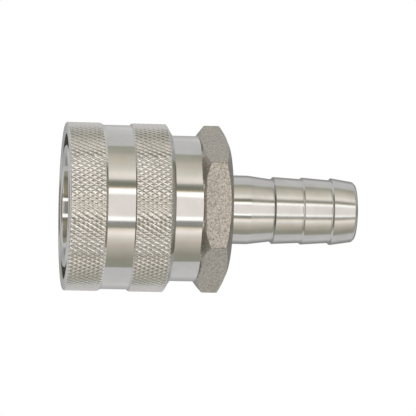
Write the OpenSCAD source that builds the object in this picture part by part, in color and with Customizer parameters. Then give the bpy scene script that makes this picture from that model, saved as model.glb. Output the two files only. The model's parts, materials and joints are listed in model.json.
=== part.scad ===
// Ball-lock quick-disconnect coupling: the socket half, with a hose barb.
// The coupling's axis is X. The mouth is at x = 0 and the barb points to +X. A hex flat faces +Z.
// Profiles are lists of [radius, x] points. All sizes are in millimetres.

/* [Sleeve] */
// Diameter over the two knurled bands
sleeve_d = 34.7; // [34.4:0.1:36]
// Length of the sleeve
sleeve_len = 21.55; // [21.3:0.05:22]
// Length of the front knurled band
front_band_len = 7; // [5:0.1:8]
// Start of the rear knurled band
rear_band_x = 13.5; // [12:0.1:14.5]
// Depth of the smooth grip groove between the bands
grip_groove_depth = 0.45; // [0.2:0.05:0.8]
// How far the sleeve slides back to release the plug
sleeve_travel = 4.5; // [3:0.1:4.6]

/* [Socket nose] */
// Bore that guides the plug
guide_bore_d = 20; // [19.6:0.1:20]
// Wider bore in front of the guide, through the ball row
entry_bore_d = 20.4; // [20.3:0.1:20.6]
// Outside of the nose, inside the sleeve
nose_d = 25.2; // [25:0.1:25.3]
// Depth of the plug bore
socket_depth = 23.5; // [22.5:0.1:24.5]

/* [Locking balls] */
// Number of locking balls
ball_count = 12; // [12]
// Diameter of a ball
ball_d = 4; // [3.8:0.1:4]
// Distance from the mouth to the ball row
ball_row_x = 7.45; // [7.3:0.05:7.6]
// Radius to a locked ball's centre
ball_lock_r = 10.85; // [10.8:0.05:10.9]
// How far a ball moves outward when the sleeve is back
ball_lift = 1.4; // [1.2:0.1:1.4]

/* [Body and hex] */
// Diameter of the smooth body behind the sleeve
body_d = 30; // [29.8:0.1:30]
// Hex size across flats
hex_across_flats = 30; // [30:0.1:31]
// Start of the hex's front chamfer
hex_x = 26.9; // [26.8:0.1:27.5]
// Rear face of the hex
hex_end_x = 33.4; // [33:0.1:34]
// Flow passage through the hex and the barb
passage_d = 10; // [8:0.1:10.4]

/* [Hose barb] */
// Diameter of the plain shank behind the hex
shank_d = 14.2; // [14:0.1:14.6]
// Diameter over the barb crests
barb_crest_d = 13.9; // [13.6:0.1:14]
// First barb crest
barb_x = 43.1; // [42.6:0.1:43.4]
// Distance from one barb crest to the next
barb_pitch = 6.05; // [5.8:0.05:6.1]
// Whole length, from the mouth to the barb's tip
overall_len = 60.2; // [59.8:0.1:60.6]

/* [Spring, ring and seal] */
// Wire of the return spring
spring_wire_d = 1.3; // [1:0.1:1.3]
// Turns of the return spring, with its closed ends
spring_turns = 3.2; // [3:0.1:3.2]
// Section of the seal ring in the plug bore
seal_section_d = 2.2; // [2:0.1:2.2]
// Thickness of the retaining ring at the mouth
ring_thickness = 1.1; // [0.9:0.1:1.1]
// Open angle in the retaining ring
ring_gap_angle = 14; // [8:1:30]

/* [Hidden] */
$fn = 96;
BALL_NODES = ["ball_1", "ball_2", "ball_3", "ball_4", "ball_5", "ball_6",
    "ball_7", "ball_8", "ball_9", "ball_10", "ball_11", "ball_12"];

steel = [0.76, 0.74, 0.71];
bright_steel = [0.84, 0.83, 0.82];
spring_steel = [0.62, 0.62, 0.63];
silicone = [0.90, 0.89, 0.86];

cut = 1;                  // how far a cutting solid runs past what it cuts
slide_gap = 0.12;         // radial play between the sleeve's skirt and the body
land_gap = 0.3;           // radial play between the sleeve's land and the nose
ball_gap = 0.03;          // play round a ball
seat_relief = 0.04;       // extra width of a ball's straight path over its round seat
edge = 0.25;              // small turned chamfer
lead_in = 0.4;            // chamfer at the mouth and at the barb's inner edge
mouth_taper_len = 2.2;    // slight taper behind the mouth's chamfer, which guides the plug in
mouth_taper = 0.3;        // how much wider the taper is at its front, as a radius
clip_gap = 0.05;          // play beside the retaining ring, in its groove and at the sleeve's stop
touch_gap = 0.02;         // play between two pieces of one body that rest on each other

sleeve_r = sleeve_d / 2;
grip_r = sleeve_r - grip_groove_depth;
front_slope_len = 0.65;   // slope from the front band down into the grip groove
rear_slope_len = 0.32;    // slope from the grip groove up to the rear band
rear_cone_len = 1;        // steep cone that ends the rear band, along the axis and outward
rear_cone_depth = 1.8;
tail_len = 0.1;           // plain edge behind that cone
tail_r = sleeve_r - rear_cone_depth;
nose_r = nose_d / 2;
body_r = body_d / 2;
hex_corner_r = hex_across_flats / 2 / cos(30);

// The retaining ring sits in a groove near the mouth, and the sleeve's inner step rests against it.
clip_x = 1.4;
clip_groove_depth = 0.9;
clip_groove_r = nose_r - clip_groove_depth;
clip_outer_r = 14.85;
clip_end_x = clip_x + ring_thickness + 2 * clip_gap;

// The cam cone opens toward the mouth. Its slope is the balls' lift over the sleeve's travel, so each
// ball keeps the same play on it all the way.
cam_slope = ball_lift / sleeve_travel;
cam_reach = (ball_d / 2 + ball_gap) * sqrt(1 + cam_slope * cam_slope);
land_r = nose_r + land_gap;
function cam_r(x) = ball_lock_r + cam_reach + cam_slope * (ball_row_x - x);
land_x = ball_row_x - (land_r - ball_lock_r - cam_reach) / cam_slope;
counterbore_r = clip_outer_r + 3 * clip_gap;

// The spring pushes from the body's seat against the rear of the sleeve's land.
spring_front_x = 9.6;
spring_seat_x = 18.4;
skirt_r = body_r + slide_gap;
spring_r = (nose_r + skirt_r) / 2;

entry_end_x = 9.5;
step_len = 0.2;
seal_x = 19.2;
seal_len = 2.6;
seal_groove_depth = 1.9;
seal_groove_r = guide_bore_d / 2 + seal_groove_depth;
socket_r = guide_bore_d / 2;
entry_r = entry_bore_d / 2;
passage_r = passage_d / 2;

// Two cones cut the hex's corners. They are given from the hex's end faces to just outside its corners.
hex_front_chamfer = 1.96;
hex_rear_chamfer = 1.73;
hex_rear_r = 13.6;
shank_r = shank_d / 2;
shank_end_x = 37.8;
crest_r = barb_crest_d / 2;
barb_count = 3;
barb_step = 0.4;
barb_roots = [6.47, 6.64, 6.53, 6.25];    // radius just before each crest, then at the tip
tip_chamfer = 0.5;

spring_dead_turns = 0.75;                         // closed turns at each end
spring_dead_pitch = spring_wire_d + 2 * touch_gap;
spring_sides = 8;
spring_steps = 72;

// Turns a profile of [radius, x] points round the coupling's axis.
module turned(profile, angle = 360) {
    rotate([0, 90, 0])
        rotate_extrude(angle = angle)
            polygon(profile);
}

// One barb's points: from its root up the steep side to the crest.
function barb_points(i) = [
    [barb_roots[i], barb_x + i * barb_pitch - barb_step],
    [crest_r, barb_x + i * barb_pitch]
];

function body_outside() = concat(
    [[0, 0], [nose_r - edge, 0], [nose_r, edge],
     [nose_r, clip_x], [clip_groove_r, clip_x], [clip_groove_r, clip_end_x], [nose_r, clip_end_x],
     [nose_r, spring_seat_x], [body_r - edge, spring_seat_x], [body_r, spring_seat_x + edge],
     [body_r, hex_x + edge], [shank_r, hex_x + edge],
     [shank_r, shank_end_x]],
    [for (i = [0 : barb_count - 1]) for (p = barb_points(i)) p],
    [[barb_roots[barb_count], overall_len - tip_chamfer],
     [barb_roots[barb_count] - tip_chamfer, overall_len], [0, overall_len]]
);

function body_bore() = [
    [0, -cut], [entry_r + mouth_taper + lead_in + cut, -cut], [entry_r + mouth_taper, lead_in],
    [entry_r, lead_in + mouth_taper_len],
    [entry_r, entry_end_x], [socket_r, entry_end_x + step_len],
    [socket_r, seal_x], [seal_groove_r, seal_x], [seal_groove_r, seal_x + seal_len],
    [socket_r, seal_x + seal_len], [socket_r, socket_depth], [passage_r, socket_depth],
    [passage_r, overall_len - lead_in], [passage_r + lead_in + cut, overall_len + cut],
    [0, overall_len + cut]
];

function hex_chamfers() = [
    [0, hex_x], [body_r, hex_x], [hex_corner_r + edge, hex_x + hex_front_chamfer],
    [hex_corner_r + edge, hex_end_x - hex_rear_chamfer], [hex_rear_r, hex_end_x], [0, hex_end_x]
];

module hex_part() {
    intersection() {
        rotate([0, 90, 0])
            rotate([0, 0, 30])
                cylinder(r = hex_corner_r, h = overall_len, $fn = 6);
        turned(hex_chamfers());
    }
}

// Moves a shape made at the ball row's centre, with its own X pointing outward, to ball place i.
module at_ball(i) {
    rotate([i * 360 / ball_count, 0, 0])
        translate([ball_row_x, 0, ball_lock_r])
            rotate([0, -90, 0])
                children();
}

// A ball's seat: round below, so the ball can't fall into the bore, and straight outward.
module ball_seat() {
    sphere(d = ball_d + 2 * ball_gap, $fn = 48);
    rotate([0, 90, 0])
        cylinder(d = ball_d + 2 * ball_gap + seat_relief, h = nose_r, $fn = 48);
}

module socket_body() {
    color(steel)
        difference() {
            union() {
                turned(body_outside());
                hex_part();
            }
            turned(body_bore());
            for (i = [0 : ball_count - 1])
                at_ball(i) ball_seat();
        }
}

function sleeve_section() = [
    [counterbore_r, 0], [sleeve_r - edge, 0], [sleeve_r, edge],
    [sleeve_r, front_band_len], [grip_r, front_band_len + front_slope_len],
    [grip_r, rear_band_x - rear_slope_len], [sleeve_r, rear_band_x],
    [sleeve_r, sleeve_len - tail_len - rear_cone_len], [tail_r, sleeve_len - tail_len],
    [tail_r, sleeve_len], [skirt_r, sleeve_len],
    [skirt_r, spring_front_x], [land_r, spring_front_x], [land_r, land_x],
    [cam_r(clip_end_x), clip_end_x], [counterbore_r, clip_end_x]
];

module release_sleeve() {
    color(steel)
        turned(sleeve_section());
}

module retaining_ring() {
    inner_r = clip_groove_r + clip_gap;
    front = clip_x + clip_gap;
    color(bright_steel)
        rotate([90 + ring_gap_angle / 2, 0, 0])
            turned([[inner_r, front], [clip_outer_r, front],
                [clip_outer_r, front + ring_thickness], [inner_r, front + ring_thickness]],
                360 - ring_gap_angle);
}

module bore_seal() {
    color(silicone)
        rotate([0, 90, 0])
            translate([0, 0, seal_x + seal_len / 2])
                rotate_extrude()
                    translate([seal_groove_r - seal_section_d / 2 - touch_gap, 0])
                        circle(d = seal_section_d, $fn = 32);
}

// Where the spring's wire is along the axis after a number of turns, with closed turns at both ends.
spring_first_x = spring_front_x + spring_wire_d / 2 + touch_gap;
spring_last_x = spring_seat_x - spring_wire_d / 2 - touch_gap;
spring_open_len = spring_last_x - spring_first_x - 2 * spring_dead_turns * spring_dead_pitch;
spring_pitch = spring_open_len / (spring_turns - 2 * spring_dead_turns);
function spring_x(t) =
    t < spring_dead_turns ? spring_first_x + t * spring_dead_pitch :
    t > spring_turns - spring_dead_turns ? spring_last_x - (spring_turns - t) * spring_dead_pitch :
    spring_first_x + spring_dead_turns * spring_dead_pitch + (t - spring_dead_turns) * spring_pitch;

function spring_ring(t) = [
    for (k = [0 : spring_sides - 1])
        let (a = k * 360 / spring_sides,
             r = spring_r + spring_wire_d / 2 * cos(a))
        [spring_x(t) + spring_wire_d / 2 * sin(a), r * cos(360 * t), r * sin(360 * t)]
];

module return_spring() {
    rings = [for (s = [0 : spring_steps]) each spring_ring(s / spring_steps * spring_turns)];
    sides = [
        for (s = [0 : spring_steps - 1]) for (k = [0 : spring_sides - 1])
            let (a = s * spring_sides + k, b = s * spring_sides + (k + 1) % spring_sides)
            [a, b, b + spring_sides, a + spring_sides]
    ];
    ends = [
        [for (k = [spring_sides - 1 : -1 : 0]) k],
        [for (k = [0 : spring_sides - 1]) spring_steps * spring_sides + k]
    ];
    color(spring_steel)
        polyhedron(rings, concat(sides, ends));
}

module locking_ball(i) {
    color(bright_steel)
        at_ball(i) sphere(d = ball_d, $fn = 48);
}

socket_body();
release_sleeve();
return_spring();
retaining_ring();
bore_seal();
for (i = [0 : ball_count - 1])
    locking_ball(i);
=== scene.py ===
"""A stainless ball-lock hose coupling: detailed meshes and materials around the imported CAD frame.

The coupling's axis is X, with the mouth at x = 0 and the hose barb toward +X. Outlines are lists of
(x, radius, corner rounding) in millimetres, and each is turned round the axis.
"""
import json
import math

import bmesh
import bpy
import numpy as np
from mathutils import Matrix, Vector


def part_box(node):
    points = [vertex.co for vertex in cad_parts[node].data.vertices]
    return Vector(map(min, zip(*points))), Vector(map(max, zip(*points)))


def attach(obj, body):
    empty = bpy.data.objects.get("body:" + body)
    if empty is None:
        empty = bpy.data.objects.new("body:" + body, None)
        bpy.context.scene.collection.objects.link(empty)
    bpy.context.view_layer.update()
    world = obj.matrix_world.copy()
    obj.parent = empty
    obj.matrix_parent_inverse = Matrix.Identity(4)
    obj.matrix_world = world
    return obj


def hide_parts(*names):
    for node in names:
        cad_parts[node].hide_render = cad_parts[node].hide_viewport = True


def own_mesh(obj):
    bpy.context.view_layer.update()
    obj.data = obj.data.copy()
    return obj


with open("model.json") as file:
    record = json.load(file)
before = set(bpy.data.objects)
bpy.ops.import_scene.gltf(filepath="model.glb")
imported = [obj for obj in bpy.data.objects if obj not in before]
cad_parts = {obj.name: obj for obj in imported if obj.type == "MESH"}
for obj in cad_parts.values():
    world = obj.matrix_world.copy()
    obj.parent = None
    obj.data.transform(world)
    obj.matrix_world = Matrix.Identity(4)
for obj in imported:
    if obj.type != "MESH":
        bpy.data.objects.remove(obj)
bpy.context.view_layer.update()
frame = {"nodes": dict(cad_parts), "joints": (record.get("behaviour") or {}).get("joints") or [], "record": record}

MM = 0.001
MOUNTS = {mount["name"]: mount for mount in frame["record"]["mounts"]}
JOINTS = {joint["name"]: joint for joint in frame["joints"]}


def extent(node):
    """Lowest and highest corner of a CAD node, in millimetres."""
    low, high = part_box(node)
    return low / MM, high / MM


# ---- Sizes read from the frame, in millimetres ----
SLEEVE_LOW, SLEEVE_HIGH = extent("release_sleeve")
SLEEVE_R = SLEEVE_HIGH.z
SLEEVE_LEN = SLEEVE_HIGH.x
OVERALL_LEN = extent("socket_body")[1].x
RING_LOW, RING_HIGH = extent("retaining_ring")
SPRING_LOW, SPRING_HIGH = extent("return_spring")
SEAL_LOW, SEAL_HIGH = extent("bore_seal")
BALL_LOW, BALL_HIGH = extent("ball_1")
HEX_FLAT_R = MOUNTS["wrench_flat_top"]["pos_m"][2] / MM
BORE_R = MOUNTS["plug_bore"]["dims"]["r_mm"]
SHANK_R = MOUNTS["hose_shank"]["dims"]["r_mm"]
SHANK_LEN = MOUNTS["hose_shank"]["dims"]["length_mm"]
HEX_END_X = MOUNTS["hose_shank"]["pos_m"][0] / MM - SHANK_LEN / 2
PASSAGE_R = MOUNTS["barb_passage"]["dims"]["r_mm"]
TRAVEL = JOINTS["sleeve_slide"]["range_m"][1] / MM
BALL_R = (BALL_HIGH.z - BALL_LOW.z) / 2
BALL_X = (BALL_HIGH.x + BALL_LOW.x) / 2
BALL_LOCK_R = (BALL_HIGH.z + BALL_LOW.z) / 2
BALL_COUNT = sum(1 for node in frame["nodes"] if node.startswith("ball_"))

# ---- Sizes that the CAD source states, in millimetres ----
EDGE = 0.25
LEAD_IN = 0.4
MOUTH_TAPER_LEN = 2.2
MOUTH_TAPER = 0.3
NOSE_R = 12.6
ENTRY_R = 10.2
ENTRY_END_X = 9.5
BODY_R = HEX_FLAT_R
SOCKET_DEPTH = 23.5
SEAL_GROOVE = (19.2, 21.8, 11.9)
CLIP_GROOVE = (1.4, 2.6, 11.7)
COUNTERBORE_R = 15.0
LAND_R = 12.9
SPRING_SEAT = (9.6, 18.4)
SKIRT_R = BODY_R + 0.12
GRIP_R = SLEEVE_R - 0.45
FRONT_BAND_END = 7.0
FRONT_SLOPE = 0.65
REAR_BAND_X = 13.5
REAR_SLOPE = 0.32
REAR_CONE = (1.0, 1.8)
TAIL_LEN = 0.1
HEX_X = 26.9
HEX_CORNER_R = HEX_FLAT_R / math.cos(math.radians(30))
HEX_FRONT_CHAMFER = 1.96
HEX_REAR_CHAMFER = 1.73
HEX_REAR_R = 13.6
BARB_X = 43.1
BARB_PITCH = 6.05
BARB_CREST_R = 6.95
BARB_STEP = 0.4
BARB_ROOTS = (6.47, 6.64, 6.53, 6.25)
TIP_CHAMFER = 0.5
SPRING_TURNS = 3.2
SPRING_DEAD_TURNS = 0.75
SPRING_WIRE_R = 0.65
RING_GAP_ANGLE = 14
CLEARANCE = 0.03
CAM_SLOPE = JOINTS["ball_1_lift"]["range_m"][1] / MM / TRAVEL
CAM_REACH = (BALL_R + CLEARANCE) * math.hypot(1, CAM_SLOPE)

# ---- Detail that only the looks need, in millimetres unless a line says otherwise ----
SOFT_EDGE = 0.08
ROUND_STEPS = 3
ROUND_LIMIT = 0.45          # the most of a side that one rounded corner takes, as a share
SMOOTH_ANGLE = 28           # degrees: edges sharper than this stay sharp
HEX_CORNER_ROUND = 0.35
RELIEF_LEN = 0.8
RELIEF_DEPTH = 0.4
RELIEF_START = 0.3          # where the relief leaves the smooth body, as a share of its length
RELIEF_FLOOR = 0.45         # where it is deepest, as a share of its length
ROOT_FILLET = 0.25
CREST_ROUND = 0.05
NOSE_STEP = 0.45
ENTRY_STEP = 0.4
FLAT_ROWS = 5               # mesh rows along each flat of the hexagon
HEX_SKIN_MARGINS = (0.02, 0.01)
KNURL_TEETH = 104
KNURL_SAMPLES = 8           # mesh columns for each tooth
KNURL_PITCH = 1.8
KNURL_DEPTHS = (0.18, 0.13)     # of its two sets of grooves
KNURL_TOP = 0.69            # how far from a groove the tops begin, as a share of half the pitch
KNURL_UNEVEN = 0.025        # how far the tops differ
KNURL_SEED = 11
KNURL_GRIME_AND_SHADE = 0.25          # how high the grime and painted shade reach in the deeper grooves, as a share of their depth
KNURL_MARGIN = 0.08
REAR_KNURL_END = 0.35       # where the knurl fades out on the rear cone, as a share of its length
RIM_STEP = 0.03
CONE_STEP = 0.04
CONE_CREASE = 0.02
REAR_BEVEL = 0.1
GRIP_STEP = 1.5
BORE_RATIO = 4              # columns of the knurled outside for each column of the sleeve's inside
SEAT_OVERSHOOT = 0.6
SEAT_SPARE = 0.02
SPRING_TURN_GAP = 0.04
RING_SEAT_GAP = 0.05


# ---- Outlines ----
def rounded(outline, steps=ROUND_STEPS):
    """A closed outline of (x, r) points, whose corners are rounded as far as its third numbers say."""
    points = []
    corners = [Vector(p[:2]) for p in outline]
    for i, corner in enumerate(corners):
        reach = outline[i][2]
        if reach == 0:
            points.append(tuple(corner))
            continue
        into = corners[i - 1] - corner
        out = corners[(i + 1) % len(corners)] - corner
        reach = min(reach, ROUND_LIMIT * into.length, ROUND_LIMIT * out.length)
        start, end = corner + into.normalized() * reach, corner + out.normalized() * reach
        for k in range(steps + 1):
            t = k / steps
            points.append(tuple(start * (1 - t) ** 2 + corner * 2 * t * (1 - t) + end * t ** 2))
    return points


def spaced(start, end, step):
    """Places between start and end, both left out, at most step apart."""
    count = max(1, math.ceil(abs(end - start) / step))
    return [start + (end - start) * k / count for k in range(1, count)]


# ---- Meshes ----
def make_object(name, points, faces, flat_faces=(), sharp_angle=SMOOTH_ANGLE):
    """A mesh object from points in millimetres, smooth except on flat_faces and at edges past sharp_angle."""
    mesh = bpy.data.meshes.new(name)
    mesh.from_pydata([Vector(p) * MM for p in points], [], faces)
    sides = bmesh.new()
    sides.from_mesh(mesh)
    bmesh.ops.recalc_face_normals(sides, faces=sides.faces)
    sides.to_mesh(mesh)
    sides.free()
    mesh.polygons.foreach_set("use_smooth", [True] * len(mesh.polygons))
    mesh.set_sharp_from_angle(angle=math.radians(sharp_angle))
    for i in flat_faces:
        mesh.polygons[i].use_smooth = False
    made = bpy.data.objects.new(name, mesh)
    bpy.context.scene.collection.objects.link(made)
    return made


def turned_point(x, r, angle):
    """A point at radius r, turned from +Z toward +Y."""
    return (x, r * math.sin(angle), r * math.cos(angle))


def grid_faces(first, columns, rows, closed_rows):
    """Quads of a grid that closes round the axis. The point of column i and row j is first + i * rows + j."""
    faces = []
    for i in range(columns):
        here, there = first + i * rows, first + (i + 1) % columns * rows
        for j in range(rows if closed_rows else rows - 1):
            k = (j + 1) % rows
            faces.append((here + j, there + j, there + k, here + k))
    return faces


# Numbers of the materials on the body and on the sleeve. On the sleeve, the dull one is a darker steel that paints
# shade.
BRIGHT, ROUGH, DULL = 0, 1, 2


# ---- Coupling body ----
def hex_radius(angle):
    """Radius of the hexagon with slightly round corners, at an angle from the top flat's middle."""
    off = (angle + math.pi / 6) % (math.pi / 3) - math.pi / 6
    centre = (HEX_FLAT_R - HEX_CORNER_ROUND) / math.cos(math.pi / 6)
    touch = math.atan((HEX_FLAT_R - HEX_CORNER_ROUND) * math.tan(math.pi / 6) / HEX_FLAT_R)
    if abs(off) <= touch:
        return HEX_FLAT_R / math.cos(off)
    aside = math.pi / 6 - abs(off)
    across = centre * math.sin(aside)
    return centre * math.cos(aside) + math.sqrt(max(HEX_CORNER_ROUND ** 2 - across ** 2, 0))


def body_angles():
    """Angles round the body: even steps, with more of them at the hexagon's corners."""
    steps = [-30 + 1.5 * k for k in range(40)]
    extra = [side * (30 - near) for side in (-1, 1) for near in (0.2, 0.4, 0.6, 0.85)]
    one_flat = sorted(steps + extra)
    return [math.radians(60 * flat + a) for flat in range(6) for a in one_flat]


def nose_outline():
    """The outside from the mouth to the smooth body, with the retaining ring's groove."""
    outline = [
        (0, ENTRY_R + MOUTH_TAPER + LEAD_IN, SOFT_EDGE),
        (0, NOSE_R - EDGE, SOFT_EDGE), (EDGE, NOSE_R, SOFT_EDGE),
        (CLIP_GROOVE[0], NOSE_R, SOFT_EDGE), (CLIP_GROOVE[0], CLIP_GROOVE[2], SOFT_EDGE),
        (CLIP_GROOVE[1], CLIP_GROOVE[2], SOFT_EDGE), (CLIP_GROOVE[1], NOSE_R, SOFT_EDGE),
    ]
    outline += [(x, NOSE_R, 0) for x in spaced(CLIP_GROOVE[1], SPRING_SEAT[1], NOSE_STEP)]
    return outline + [
        (SPRING_SEAT[1], NOSE_R, SOFT_EDGE),
        (SPRING_SEAT[1], BODY_R - EDGE, SOFT_EDGE), (SPRING_SEAT[1] + EDGE, BODY_R, SOFT_EDGE),
    ]


def hexagon_outline(hex_r):
    """The outside of the hexagon and its two cones, where the hexagon's radius is hex_r.

    In front of each flat's middle, where the front cone is lowest, a small turned relief parts the hexagon
    from the smooth body.
    """
    front_slope = HEX_FRONT_CHAMFER / (HEX_CORNER_R + EDGE - BODY_R)
    rear_slope = HEX_REAR_CHAMFER / (HEX_CORNER_R + EDGE - HEX_REAR_R)
    cone_end = HEX_X + (hex_r - BODY_R) * front_slope
    relief = max(0.0, 1 - (cone_end - HEX_X) / RELIEF_LEN)
    flat_start = max(cone_end, HEX_X + RELIEF_LEN)
    flat_end = HEX_END_X - (hex_r - HEX_REAR_R) * rear_slope
    floor_x = RELIEF_FLOOR * RELIEF_LEN
    floor_r = BODY_R + floor_x / front_slope * (1 - relief) - RELIEF_DEPTH * relief
    return [
        (HEX_X + RELIEF_START * RELIEF_LEN * relief, BODY_R, 0.06), (HEX_X + floor_x, floor_r, 0.02),
        (flat_start, hex_r, 0.1),
        *[(flat_start + (flat_end - flat_start) * k / FLAT_ROWS, hex_r, 0) for k in range(1, FLAT_ROWS)],
        (flat_end, hex_r, 0.14), (HEX_END_X, HEX_REAR_R, 0.15),
    ]


def barb_outline():
    """The outside of the shank and of the barb's three crests, to the tip."""
    outline = [(HEX_END_X, SHANK_R, 0.2), (HEX_END_X + SHANK_LEN, SHANK_R, 0.3)]
    for i in range(len(BARB_ROOTS) - 1):
        crest_x = BARB_X + i * BARB_PITCH
        outline += [(crest_x - BARB_STEP, BARB_ROOTS[i], ROOT_FILLET), (crest_x, BARB_CREST_R, CREST_ROUND)]
    return outline + [
        (OVERALL_LEN - TIP_CHAMFER, BARB_ROOTS[-1], 0.2), (OVERALL_LEN, BARB_ROOTS[-1] - TIP_CHAMFER, 0.1),
    ]


def bore_outline():
    """The inside from the barb's tip back to the mouth, whose last stretch widens a little."""
    taper_end = LEAD_IN + MOUTH_TAPER_LEN
    return [
        (OVERALL_LEN, PASSAGE_R + LEAD_IN, SOFT_EDGE), (OVERALL_LEN - LEAD_IN, PASSAGE_R, SOFT_EDGE),
        (SOCKET_DEPTH, PASSAGE_R, 0.15), (SOCKET_DEPTH, BORE_R, 0.15),
        (SEAL_GROOVE[1], BORE_R, 0.05), (SEAL_GROOVE[1], SEAL_GROOVE[2], 0.1),
        (SEAL_GROOVE[0], SEAL_GROOVE[2], 0.1), (SEAL_GROOVE[0], BORE_R, 0.05),
        (ENTRY_END_X + ENTRY_R - BORE_R, BORE_R, 0.05), (ENTRY_END_X, ENTRY_R, 0.05),
        *[(x, ENTRY_R, 0) for x in spaced(ENTRY_END_X, taper_end, ENTRY_STEP)],
        (taper_end, ENTRY_R, 0.1), (LEAD_IN, ENTRY_R + MOUTH_TAPER, SOFT_EDGE),
    ]


def body_section(hex_r):
    """The body's closed outline where the hexagon's radius is hex_r."""
    return rounded(nose_outline() + hexagon_outline(hex_r) + barb_outline() + bore_outline())


def ball_cutter():
    """Every ball seat as one mesh: round below, and straight from the ball's centre outward."""
    seats = bmesh.new()
    rings, sides = 10, 40
    angles = [2 * math.pi * s / sides for s in range(sides)]
    reach = NOSE_R + SEAT_OVERSHOOT - BALL_LOCK_R
    seat_r = BALL_R + CLEARANCE
    profile = [(seat_r * math.sin(math.pi / 2 * k / rings), -seat_r * math.cos(math.pi / 2 * k / rings))
               for k in range(1, rings + 1)]
    profile += [(seat_r + SEAT_SPARE, SEAT_SPARE), (seat_r + SEAT_SPARE, reach)]
    for i in range(BALL_COUNT):
        turn = Matrix.Rotation(2 * math.pi * i / BALL_COUNT, 4, "X")
        place = turn @ Matrix.Translation((BALL_X, 0, BALL_LOCK_R))
        low = seats.verts.new(place @ Vector((0, 0, -seat_r)))
        high = seats.verts.new(place @ Vector((0, 0, reach)))
        loops = []
        for radius, height in profile:
            ring = [(radius * math.cos(a), radius * math.sin(a), height) for a in angles]
            loops.append([seats.verts.new(place @ Vector(point)) for point in ring])
        for s in range(sides):
            t = (s + 1) % sides
            seats.faces.new((low, loops[0][t], loops[0][s]))
            seats.faces.new((high, loops[-1][s], loops[-1][t]))
            for a, b in zip(loops, loops[1:]):
                seats.faces.new((a[s], a[t], b[t], b[s]))
    bmesh.ops.scale(seats, vec=(MM, MM, MM), verts=seats.verts)
    mesh = bpy.data.meshes.new("ball_seats")
    seats.to_mesh(mesh)
    seats.free()
    made = bpy.data.objects.new("ball_seats", mesh)
    bpy.context.scene.collection.objects.link(made)
    return made


def build_body():
    """The body turned from its outline, with the ball seats cut out of it."""
    angles = body_angles()
    sections = [body_section(hex_radius(a)) for a in angles]
    points = [turned_point(x, r, a) for a, section in zip(angles, sections) for x, r in section]
    body = make_object("coupling_body", points, grid_faces(0, len(angles), len(sections[0]), True))
    cutter = ball_cutter()
    holes = body.modifiers.new("ball_seats", "BOOLEAN")
    holes.operation = "DIFFERENCE"
    holes.solver = "EXACT"
    holes.object = cutter
    evaluated = body.evaluated_get(bpy.context.evaluated_depsgraph_get())
    cut = bpy.data.meshes.new_from_object(evaluated)
    body.modifiers.clear()
    body.data = cut
    body.data.name = "coupling_body"
    bpy.data.objects.remove(cutter)
    cut.polygons.foreach_set("use_smooth", [True] * len(cut.polygons))
    cut.set_sharp_from_angle(angle=math.radians(SMOOTH_ANGLE))
    return body


def body_skin(polygon):
    """A face's material number: dull on the barb, rough where the hexagon keeps the bar's own skin."""
    centre = polygon.center / MM
    if centre.x > HEX_END_X + SHANK_LEN:
        return DULL
    on_hexagon = HEX_X + HEX_SKIN_MARGINS[0] < centre.x < HEX_END_X - HEX_SKIN_MARGINS[1]
    return ROUGH if on_hexagon and math.hypot(centre.y, centre.z) > HEX_REAR_R else BRIGHT


# ---- Knurled sleeve ----
# Two small slopes for each cell of the knurl, so that its tops catch the light unevenly.
TOP_SLOPES = np.random.default_rng(KNURL_SEED).uniform(-1, 1, (KNURL_TEETH, KNURL_TEETH, 2))


def knurl_rises(i, j):
    """How high the knurl is above each of its two sets of grooves, from 0 in a groove to 1 on the tops."""
    places = ((i + j) / KNURL_SAMPLES % 1, (i - j) / KNURL_SAMPLES % 1)
    return [min(2 * min(place, 1 - place), KNURL_TOP) / KNURL_TOP for place in places]


def knurl_drop(i, j):
    """How far the knurl's surface lies below the band's radius at a mesh column and row."""
    along_one, along_other = (i + j) / KNURL_SAMPLES, (i - j) / KNURL_SAMPLES
    slopes = TOP_SLOPES[math.floor(along_one) % KNURL_TEETH, math.floor(along_other) % KNURL_TEETH]
    unevenness = slopes[0] * (along_one % 1 - 0.5) + slopes[1] * (along_other % 1 - 0.5) + 1
    rises = knurl_rises(i, j)
    cut = max(depth * (1 - rise) for depth, rise in zip(KNURL_DEPTHS, rises))
    return cut + KNURL_UNEVEN * unevenness * min(rises)


def sleeve_rows():
    """The sleeve's outside from its front edge to its rear one, as (x, radius, knurl row or None)."""
    tail_r = SLEEVE_R - REAR_CONE[1]
    cone_end = SLEEVE_LEN - TAIL_LEN
    cone_start = cone_end - REAR_CONE[0]
    knurl_end = cone_start + REAR_KNURL_END * REAR_CONE[0]
    grip_start, grip_end = FRONT_BAND_END + FRONT_SLOPE, REAR_BAND_X - REAR_SLOPE
    profile_x, profile_r = zip(
        (0.0, SLEEVE_R - EDGE), (EDGE, SLEEVE_R), (FRONT_BAND_END, SLEEVE_R), (grip_start, GRIP_R),
        (grip_end, GRIP_R), (REAR_BAND_X, SLEEVE_R), (cone_start, SLEEVE_R), (cone_end, tail_r),
    )

    def on_profile(x, knurl_row=None):
        return (x, float(np.interp(x, profile_x, profile_r)), knurl_row)

    def knurled(start, end):
        count = round((end - start) / KNURL_PITCH * KNURL_SAMPLES)
        return [on_profile(start + (end - start) * j / count, j) for j in range(count + 1)]

    grip = [grip_start + KNURL_MARGIN, *spaced(grip_start, grip_end, GRIP_STEP), grip_end - KNURL_MARGIN]
    return [
        (0.0, COUNTERBORE_R + EDGE, None), (0.0, SLEEVE_R - EDGE - SOFT_EDGE, None),
        (RIM_STEP, SLEEVE_R - EDGE, None),
        *knurled(EDGE, grip_start),
        *[(x, GRIP_R, None) for x in grip],
        *knurled(grip_end, knurl_end),
        on_profile(knurl_end + KNURL_MARGIN), on_profile(cone_end - CONE_STEP),
        (cone_end + CONE_CREASE, tail_r, None), (SLEEVE_LEN - RIM_STEP, tail_r, None),
        (SLEEVE_LEN, tail_r - CONE_STEP, None), (SLEEVE_LEN, SKIRT_R + REAR_BEVEL, None),
    ]


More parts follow.
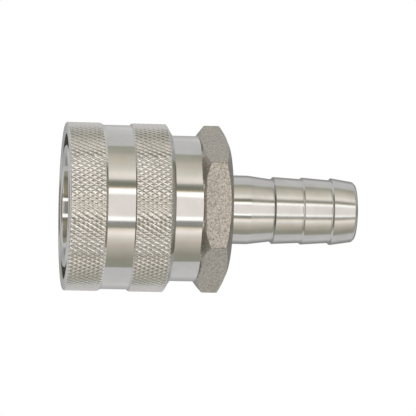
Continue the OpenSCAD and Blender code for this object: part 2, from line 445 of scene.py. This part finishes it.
def sleeve_bore():
    """The sleeve's inside outline between its rear edge and its front one, which the outside has already."""
    cam_start = BALL_X - (LAND_R - BALL_LOCK_R - CAM_REACH) / CAM_SLOPE
    cam_end_r = BALL_LOCK_R + CAM_REACH + CAM_SLOPE * (BALL_X - CLIP_GROOVE[1])
    return rounded([
        (SLEEVE_LEN, SKIRT_R + REAR_BEVEL, 0), (SLEEVE_LEN - REAR_BEVEL, SKIRT_R, 0.03),
        (SPRING_SEAT[0], SKIRT_R, 0.1), (SPRING_SEAT[0], LAND_R, 0.05),
        (cam_start, LAND_R, 0.05), (CLIP_GROOVE[1], cam_end_r, 0.05),
        (CLIP_GROOVE[1], COUNTERBORE_R, 0.05), (EDGE, COUNTERBORE_R, 0.05), (0.0, COUNTERBORE_R + EDGE, 0),
    ])[1:-1]


def knurled_wall(rows, columns):
    """The outside's points and faces, and the numbers of its flat faces and of those low in the deeper grooves,
    which take grime and painted shade.
    """
    points, faces, flat_faces, grime_and_shade_faces = [], [], [], []
    for i in range(columns):
        for x, r, j in rows:
            if j is not None:
                r = min(r, SLEEVE_R - knurl_drop(i, j))
            points.append(turned_point(x, r, 2 * math.pi * i / columns))
    for i in range(columns):
        here, there = i * len(rows), (i + 1) % columns * len(rows)
        for j in range(len(rows) - 1):
            a, b, c, d = here + j, there + j, there + j + 1, here + j + 1
            if rows[j][2] is None or rows[j + 1][2] is None:
                faces.append((a, b, c, d))
                continue
            flat_faces += [len(faces), len(faces) + 1]
            rises = knurl_rises(i + 0.5, rows[j][2] + 0.5)
            # Faces low in the deeper grooves get the darker steel: partly grime, partly painted shade.
            if rises[0] < KNURL_GRIME_AND_SHADE:
                grime_and_shade_faces += flat_faces[-2:]
            faces += [(a, b, d), (b, c, d)] if rises[0] < rises[1] else [(a, b, c), (a, c, d)]
    return points, faces, flat_faces, grime_and_shade_faces


def build_sleeve():
    """The sleeve, and the numbers of its faces in the knurl's deeper grooves.

    Its inside has fewer columns than its outside, and wide faces join the two at both ends.
    """
    rows, bore = sleeve_rows(), sleeve_bore()
    columns = KNURL_TEETH * KNURL_SAMPLES
    points, faces, flat_faces, grime_and_shade_faces = knurled_wall(rows, columns)
    first = len(points)
    bore_columns = columns // BORE_RATIO
    for i in range(bore_columns):
        points += [turned_point(x, r, 2 * math.pi * i / bore_columns) for x, r in bore]
    faces += grid_faces(first, bore_columns, len(bore), False)
    for i in range(bore_columns):
        here, there = first + i * len(bore), first + (i + 1) % bore_columns * len(bore)
        fronts = [(i * BORE_RATIO + k) % columns * len(rows) for k in range(BORE_RATIO, -1, -1)]
        faces.append((here + len(bore) - 1, there + len(bore) - 1, *fronts))
        faces.append((here, there, *[front + len(rows) - 1 for front in fronts]))
    return make_object("knurled_sleeve", points, faces, flat_faces), grime_and_shade_faces


def sleeve_skin(polygon):
    """A face's material number: a dull, darker steel all over the inside, which is painted shade, and rough on the
    knurl.
    """
    centre = polygon.center / MM
    if centre.x > EDGE and math.hypot(centre.y, centre.z) < SKIRT_R + SOFT_EDGE:
        return DULL
    return BRIGHT if polygon.use_smooth else ROUGH


# ---- Spring, ring, seal and balls ----
def swept(name, rings, closed):
    """A tube through rings of points; its ends are filled unless it is closed."""
    sides = len(rings[0])
    points = [p for ring in rings for p in ring]
    faces = []
    for s in range(len(rings) if closed else len(rings) - 1):
        here, there = s * sides, (s + 1) % len(rings) * sides
        for k in range(sides):
            m = (k + 1) % sides
            faces.append((here + k, here + m, there + m, there + k))
    if not closed:
        faces.append(tuple(range(sides)))
        faces.append(tuple(reversed(range(len(points) - sides, len(points)))))
    return make_object(name, points, faces, sharp_angle=40)


def build_spring():
    """The return spring: a helix of round wire with closed turns at both ends."""
    mean_r = (NOSE_R + SKIRT_R) / 2
    first_x, last_x = SPRING_LOW.x + SPRING_WIRE_R, SPRING_HIGH.x - SPRING_WIRE_R
    dead_pitch = 2 * SPRING_WIRE_R + SPRING_TURN_GAP
    open_turns = SPRING_TURNS - 2 * SPRING_DEAD_TURNS
    open_start, open_end = first_x + SPRING_DEAD_TURNS * dead_pitch, last_x - SPRING_DEAD_TURNS * dead_pitch
    wire_r = SPRING_WIRE_R - CLEARANCE
    steps, sides = 320, 16
    rings = []
    for s in range(steps + 1):
        turn = s / steps * SPRING_TURNS
        x = np.interp(turn, [0, SPRING_DEAD_TURNS, SPRING_DEAD_TURNS + open_turns, SPRING_TURNS],
                      [first_x, open_start, open_end, last_x])
        angle = 2 * math.pi * turn
        ring = []
        for k in range(sides):
            a = 2 * math.pi * k / sides
            r = mean_r + wire_r * math.cos(a)
            ring.append((x + wire_r * math.sin(a), r * math.cos(angle), r * math.sin(angle)))
        rings.append(ring)
    return swept("spring_coil", rings, False)


def build_ring():
    """The retaining ring: flat wire with soft edges and a gap."""
    inner_r = CLIP_GROOVE[2] + RING_SEAT_GAP
    section = rounded([
        (RING_LOW.x, inner_r, 0.12), (RING_LOW.x, RING_HIGH.z, 0.2),
        (RING_HIGH.x, RING_HIGH.z, 0.2), (RING_HIGH.x, inner_r, 0.12),
    ])
    steps = 220
    half_gap = math.radians(RING_GAP_ANGLE / 2)
    start, sweep = math.pi / 2 + half_gap, 2 * math.pi - 2 * half_gap
    rings = []
    for s in range(steps + 1):
        rings.append([turned_point(x, r, -(start + sweep * s / steps) + math.pi / 2) for x, r in section])
    return swept("snap_ring", rings, False)


def build_seal():
    """The seal ring: a closed ring of round silicone."""
    section_r = (SEAL_HIGH.x - SEAL_LOW.x) / 2
    centre_x, centre_r = (SEAL_HIGH.x + SEAL_LOW.x) / 2, SEAL_HIGH.z - section_r
    steps, sides = 200, 32
    rings = []
    for s in range(steps):
        angle = 2 * math.pi * s / steps
        rings.append([turned_point(
            centre_x + section_r * math.cos(2 * math.pi * k / sides),
            centre_r + section_r * math.sin(2 * math.pi * k / sides), angle) for k in range(sides)])
    return swept("seal_ring", rings, True)


def build_ball(number):
    """One polished ball at its place in the row."""
    ball = bmesh.new()
    bmesh.ops.create_uvsphere(ball, u_segments=40, v_segments=24, radius=BALL_R)
    angle = 2 * math.pi * (number - 1) / BALL_COUNT
    place = Matrix.Rotation(angle, 4, "X") @ Matrix.Translation((BALL_X, 0, BALL_LOCK_R))
    bmesh.ops.transform(ball, matrix=place, verts=ball.verts)
    bmesh.ops.scale(ball, vec=(MM, MM, MM), verts=ball.verts)
    mesh = bpy.data.meshes.new(f"steel_ball_{number}")
    ball.to_mesh(mesh)
    ball.free()
    mesh.polygons.foreach_set("use_smooth", [True] * len(mesh.polygons))
    made = bpy.data.objects.new(f"steel_ball_{number}", mesh)
    bpy.context.scene.collection.objects.link(made)
    return made


# ---- Materials ----
# Blender's noise mostly lies between these two values.
NOISE_LOW, NOISE_HIGH = 0.3, 0.7


def math_node(tree, operation, a, b=None):
    """The result of a math node whose inputs are numbers or the outputs of other nodes."""
    node = tree.nodes.new("ShaderNodeMath")
    node.operation = operation
    for socket, value in zip(node.inputs, (a, b)):
        if isinstance(value, (int, float)):
            socket.default_value = value
        elif value is not None:
            tree.links.new(value, socket)
    return node.outputs["Value"]


def map_range(tree, value, start, end, low, high):
    """A value between start and end, mapped to one from low to high."""
    node = tree.nodes.new("ShaderNodeMapRange")
    node.inputs["From Min"].default_value = start
    node.inputs["From Max"].default_value = end
    node.inputs["To Min"].default_value = low
    node.inputs["To Max"].default_value = high
    tree.links.new(value, node.inputs["Value"])
    return node.outputs["Result"]


def colour_ramp(tree, factor, stops):
    """Colours by a factor: stops are (place, colour) pairs."""
    ramp = tree.nodes.new("ShaderNodeValToRGB")
    colours = ramp.color_ramp.elements
    while len(colours) < len(stops):
        colours.new(0.5)
    for element, (place, colour) in zip(colours, stops):
        element.position = place
        element.color = (*colour, 1)
    tree.links.new(factor, ramp.inputs["Fac"])
    return ramp.outputs["Color"]


class Surface:
    """A new material with short forms for building its nodes."""

    def __init__(self, name, metallic):
        self.material = bpy.data.materials.new(name)
        self.material.use_nodes = True
        self.tree = self.material.node_tree
        self.shader = self.tree.nodes["Principled BSDF"]
        self.shader.inputs["Metallic"].default_value = metallic
        self.place = self.tree.nodes.new("ShaderNodeTexCoord").outputs["Object"]

    def noise(self, scale, detail=3.0, roughness=0.55):
        """Noise whose scale is a number of grains per millimetre along X, Y and Z."""
        mapping = self.tree.nodes.new("ShaderNodeMapping")
        mapping.inputs["Scale"].default_value = [s / MM for s in scale]
        self.tree.links.new(self.place, mapping.inputs["Vector"])
        texture = self.tree.nodes.new("ShaderNodeTexNoise")
        texture.inputs["Scale"].default_value = 1.0
        texture.inputs["Detail"].default_value = detail
        texture.inputs["Roughness"].default_value = roughness
        self.tree.links.new(mapping.outputs["Vector"], texture.inputs["Vector"])
        return texture.outputs["Fac"]

    def colour(self, factor, dark, light):
        """Base colours from dark to light."""
        mixed = colour_ramp(self.tree, factor, [(NOISE_LOW, dark), (NOISE_HIGH, light)])
        self.tree.links.new(mixed, self.shader.inputs["Base Color"])

    def roughness(self, factor, low, high):
        """Roughness from low to high."""
        mapped = map_range(self.tree, factor, NOISE_LOW, NOISE_HIGH, low, high)
        self.tree.links.new(mapped, self.shader.inputs["Roughness"])

    def bump(self, height, depth, normal=None):
        """A bump of that depth in millimetres, on top of another one if given."""
        bump = self.tree.nodes.new("ShaderNodeBump")
        bump.inputs["Strength"].default_value = 1.0
        bump.inputs["Distance"].default_value = depth * MM
        self.tree.links.new(height, bump.inputs["Height"])
        if normal is not None:
            self.tree.links.new(normal, bump.inputs["Normal"])
        self.tree.links.new(bump.outputs["Normal"], self.shader.inputs["Normal"])
        return bump.outputs["Normal"]


def steel(name, dark, light, roughness, lines=0.0, grain=0.0, grain_size=0.35, blotch_size=4.0):
    """Bare stainless steel. lines and grain are the depths of its turning lines and grain, in millimetres."""
    made = Surface(name, metallic=1.0)
    made.colour(made.noise([1 / blotch_size] * 3, detail=5.0), dark, light)
    made.roughness(made.noise((9.0, 0.35, 0.35) if lines else (4.0, 4.0, 4.0), detail=4.0), *roughness)
    normal = None
    if lines:
        normal = made.bump(made.noise((14.0, 0.02, 0.02), detail=2.0), lines)
    if grain:
        speckle = made.noise([1 / grain_size] * 3, detail=4.0, roughness=0.65)
        made.bump(speckle, grain, normal)
    return made.material


def silicone(name):
    """Milky silicone rubber with a slightly dusty skin."""
    made = Surface(name, metallic=0.0)
    made.shader.inputs["Subsurface Weight"].default_value = 0.35
    made.shader.inputs["Subsurface Scale"].default_value = 0.5 * MM
    made.colour(made.noise((0.4, 0.4, 0.4)), (0.80, 0.79, 0.75), (0.88, 0.87, 0.84))
    dust = made.noise((3.0, 3.0, 3.0))
    made.roughness(dust, 0.32, 0.48)
    made.bump(dust, 0.01)
    return made.material


# ---- Studio ----
# The table's brightness in reflections, close to the coupling and far from it, and how wide its painted shade is.
FLOOR_NEAR, FLOOR_FAR, FLOOR_REACH = 0.40, 0.96, 16
FLOOR_EDGES = (-900, 900, -280, 900)    # left, right, near and far


def floor_material():
    """Glowing white paper that looks evenly white, but mirrors in the steel with a soft painted shade round the
    coupling.
    """
    material = bpy.data.materials.new("floor_white")
    material.use_nodes = True
    tree = material.node_tree
    tree.nodes.remove(tree.nodes["Principled BSDF"])
    parts = tree.nodes.new("ShaderNodeSeparateXYZ")
    tree.links.new(tree.nodes.new("ShaderNodeNewGeometry").outputs["Position"], parts.inputs["Vector"])
    aside = math_node(tree, "ABSOLUTE", parts.outputs["Y"])
    beside = math_node(tree, "SUBTRACT", aside, SLEEVE_R * MM)
    before = math_node(tree, "MULTIPLY", parts.outputs["X"], -1.0)
    away = math_node(tree, "MAXIMUM", beside, before)
    # Painted shade: the glow is dimmer close to the coupling, except where the camera sees the floor directly.
    shade = map_range(tree, away, 0.0, FLOOR_REACH * MM, FLOOR_NEAR, FLOOR_FAR)
    seen = tree.nodes.new("ShaderNodeLightPath").outputs["Is Camera Ray"]
    emission = tree.nodes.new("ShaderNodeEmission")
    tree.links.new(math_node(tree, "MAXIMUM", shade, seen), emission.inputs["Strength"])
    tree.links.new(emission.outputs["Emission"], tree.nodes["Material Output"].inputs["Surface"])
    return material


def build_floor():
    """A white light table under the coupling, with its near edge close enough to show some of the room."""
    left, right, near, far = FLOOR_EDGES
    points = [(x, y, -SLEEVE_R) for x, y in ((left, near), (right, near), (right, far), (left, far))]
    floor = make_object("floor", points, [(0, 1, 2, 3)])
    floor.data.materials.append(floor_material())


# Colours of the room by the angle from straight up, in degrees toward +Y. A soft light with brighter edges
# hangs overhead in a dark frame, and the warm walls beyond it darken toward the table.
DEEP, SHADE, FRAME = (0.50, 0.51, 0.43), (0.56, 0.54, 0.44), (0.37, 0.38, 0.31)
DIFFUSER, STRIP = (1.48, 1.39, 1.35), (2.3, 2.3, 2.25)
PANEL = (
    (-97, DEEP), (-80, SHADE), (-66, (0.79, 0.76, 0.65)), (-57, (1.00, 0.89, 0.78)),
    (-48, (1.24, 1.19, 1.07)), (-39, (1.80, 1.68, 1.58)), (-33.6, (1.46, 1.30, 1.10)),
    (-31.3, (0.46, 0.45, 0.37)), (-27, (0.52, 0.52, 0.48)), (-22.7, (0.50, 0.50, 0.48)),
    (-21.6, STRIP), (-17.5, STRIP),
    (-15, DIFFUSER), (14, DIFFUSER), (16.5, STRIP), (22.3, STRIP), (24, (1.00, 0.77, 0.46)),
    (26, FRAME), (31, FRAME), (34.5, (0.62, 0.60, 0.56)), (37, (1.45, 1.38, 1.28)),
    (43, (1.62, 1.52, 1.40)), (54, (1.20, 1.16, 1.04)), (62, (1.08, 1.01, 0.88)),
    (72, (0.92, 0.86, 0.74)), (80, (0.70, 0.68, 0.58)), (92, (0.62, 0.62, 0.52)),
)
# Past the light's two ends along X, the room's colours by the angle from straight up.
WALL = ((0, (1.3, 1.25, 1.15)), (55, (1.0, 0.97, 0.88)), (70, (0.60, 0.58, 0.50)), (84, (0.34, 0.33, 0.28)))
# A narrow band just toward -X of straight up is darker, because the camera and its stand are there.
NEAR_DARK, NEAR_DIM, CAMERA = (0.30, 0.28, 0.24), (0.48, 0.43, 0.32), (0.44, 0.41, 0.38)
NEAR_SIDE = (
    (-80, SHADE), (-72, NEAR_DARK), (-50, NEAR_DIM), (-32, NEAR_DIM), (-25, NEAR_DARK), (-22.5, NEAR_DARK),
    (-21.6, STRIP), (-15.5, STRIP), (-14.5, CAMERA), (14.5, CAMERA), (15.5, STRIP), (22.3, STRIP),
    (23.5, NEAR_DARK), (27, NEAR_DARK), (34, NEAR_DIM), (50, NEAR_DIM), (72, NEAR_DARK), (80, SHADE),
)
NEAR_SIDE_REACH = (3.0, 17.0)   # degrees toward -X
PANEL_HALF_LENGTH = 38.0        # degrees along X
PANEL_FADE = 6                  # degrees
SKY_LIMIT = 3.0                 # a ramp's colours stop at 1, so they are stored as shares of this


def angle_ramp(tree, angle, stops, lowest):
    """Room colours by an angle from lowest to 180 degrees."""
    span = 180 - lowest
    share = math_node(tree, "DIVIDE", math_node(tree, "SUBTRACT", angle, lowest), span)
    return colour_ramp(tree, share, [
        ((degrees - lowest) / span, [c / SKY_LIMIT for c in colour]) for degrees, colour in stops])


def mixed_colours(tree, factor, first, second):
    """The first colour where the factor is 0, and the second where it is 1."""
    mix = tree.nodes.new("ShaderNodeMix")
    mix.data_type = "RGBA"
    for socket, value in ((mix.inputs["Factor"], factor), (mix.inputs[6], first), (mix.inputs[7], second)):
        tree.links.new(value, socket)
    return mix.outputs[2]


def build_room():
    """The room as a sky that depends only on direction."""
    world = bpy.data.worlds.new("room")
    bpy.context.scene.world = world
    world.use_nodes = True
    tree = world.node_tree
    parts = tree.nodes.new("ShaderNodeSeparateXYZ")
    tree.links.new(tree.nodes.new("ShaderNodeTexCoord").outputs["Generated"], parts.inputs["Vector"])
    x, y, z = (parts.outputs[k] for k in "XYZ")
    across = math_node(tree, "DEGREES", math_node(tree, "ARCTAN2", y, z))
    along = math_node(tree, "DEGREES", math_node(tree, "ABSOLUTE", math_node(tree, "ARCSINE", x)))
    from_top = math_node(tree, "DEGREES", math_node(tree, "ARCCOSINE", z))
    beyond = map_range(tree, along, PANEL_HALF_LENGTH, PANEL_HALF_LENGTH + PANEL_FADE, 0, 1)
    room = mixed_colours(tree, beyond, angle_ramp(tree, across, PANEL, -180),
                         angle_ramp(tree, from_top, WALL, 0))
    start, end = (-math.sin(math.radians(reach)) for reach in NEAR_SIDE_REACH)
    is_near = math_node(tree, "MULTIPLY", math_node(tree, "LESS_THAN", x, start),
                        math_node(tree, "GREATER_THAN", x, end))
    sky = mixed_colours(tree, is_near, room, angle_ramp(tree, across, NEAR_SIDE, -180))
    background = tree.nodes["Background"]
    tree.links.new(sky, background.inputs["Color"])
    background.inputs["Strength"].default_value = SKY_LIMIT


# ---- Camera ----
VIEW_DIRECTION = (0.1234, 0.056, -1)
VIEW_ROLL = 0.0215              # radians
VIEW_AIM = (29.76, 0.23, 0)     # millimetres, as is the distance
VIEW_DISTANCE = 580
SENSOR, LENS = 36, 242.9
CLIP_START, CLIP_END = 0.05, 10


def build_camera():
    """A long lens that looks almost straight down, from a little toward the mouth."""
    forward = Vector(VIEW_DIRECTION).normalized()
    right = Vector((1, 0, 0)) - forward * forward.x
    right.normalize()
    up = right.cross(forward)
    rolled_right = right * math.cos(VIEW_ROLL) + up * math.sin(VIEW_ROLL)
    rolled_up = up * math.cos(VIEW_ROLL) - right * math.sin(VIEW_ROLL)
    data = bpy.data.cameras.new("camera")
    data.sensor_width = SENSOR
    data.lens = LENS
    data.clip_start = CLIP_START
    data.clip_end = CLIP_END
    camera = bpy.data.objects.new("camera", data)
    bpy.context.scene.collection.objects.link(camera)
    turn = Matrix((rolled_right, rolled_up, -forward)).transposed().to_4x4()
    place = Vector(VIEW_AIM) * MM - forward * (VIEW_DISTANCE * MM)
    camera.matrix_world = Matrix.Translation(place) @ turn
    bpy.context.scene.camera = camera


# ---- Assembly ----
def painted(piece, *materials):
    """The piece, with its materials added."""
    for material in materials:
        piece.data.materials.append(material)
    return piece


def fit(piece, body, slot, *nodes):
    """Put a piece on a body, in the place of the CAD nodes that it replaces."""
    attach(piece, body)
    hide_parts(*nodes)


bpy.context.scene.view_settings.view_transform = "Standard"
build_camera()
build_floor()
build_room()

turned_steel = steel("turned_steel", (0.455, 0.45, 0.435), (0.50, 0.495, 0.485), (0.06, 0.11), lines=0.0015)
barb_steel = steel("barb_steel", (0.44, 0.435, 0.42), (0.50, 0.495, 0.485), (0.13, 0.20), lines=0.003)
bar_skin = steel("bar_skin", (0.165, 0.155, 0.13), (0.51, 0.48, 0.43), (0.26, 0.40), grain=0.05,
                 grain_size=0.28, blotch_size=0.28)
knurl_steel = steel("knurl_steel", (0.49, 0.48, 0.46), (0.56, 0.55, 0.525), (0.09, 0.16), grain=0.004,
                    grain_size=0.1)
# A darker, duller steel for the knurl's deeper grooves and the sleeve's inside: partly grime, partly painted
# shade.
grime_and_shade_steel = steel("grime_and_shade_steel", (0.22, 0.205, 0.18), (0.30, 0.285, 0.26), (0.20, 0.30), grain=0.004,
                    grain_size=0.1)
wire_steel = steel("wire_steel", (0.40, 0.40, 0.40), (0.48, 0.48, 0.48), (0.25, 0.35), grain=0.002,
                   grain_size=0.1)
ring_steel = steel("ring_steel", (0.46, 0.455, 0.45), (0.52, 0.51, 0.50), (0.22, 0.32), grain=0.003,
                   grain_size=0.15)
ball_steel = steel("ball_steel", (0.62, 0.62, 0.62), (0.66, 0.66, 0.66), (0.05, 0.09), grain=0.0003,
                   grain_size=0.2)
clear_silicone = silicone("clear_silicone")

body = painted(build_body(), turned_steel, bar_skin, barb_steel)
for polygon in body.data.polygons:
    polygon.material_index = body_skin(polygon)
fit(body, "socket", "body_steel", "socket_body")

sleeve, grime_and_shade_faces = build_sleeve()
painted(sleeve, turned_steel, knurl_steel, grime_and_shade_steel)
for polygon in sleeve.data.polygons:
    polygon.material_index = sleeve_skin(polygon)
# The knurl's deeper grooves take the darker steel, which is grime and painted shade.
for face in grime_and_shade_faces:
    sleeve.data.polygons[face].material_index = DULL
fit(sleeve, "sleeve", "sleeve_steel", "release_sleeve")

spring = painted(build_spring(), wire_steel)
fit(spring, "spring", "spring_steel", "return_spring")
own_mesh(spring)

fit(painted(build_ring(), ring_steel), "socket", "ring_steel", "retaining_ring")
fit(painted(build_seal(), clear_silicone), "socket", "silicone", "bore_seal")
for number in range(1, BALL_COUNT + 1):
    fit(painted(build_ball(number), ball_steel), f"ball_{number}", "ball_steel", f"ball_{number}")
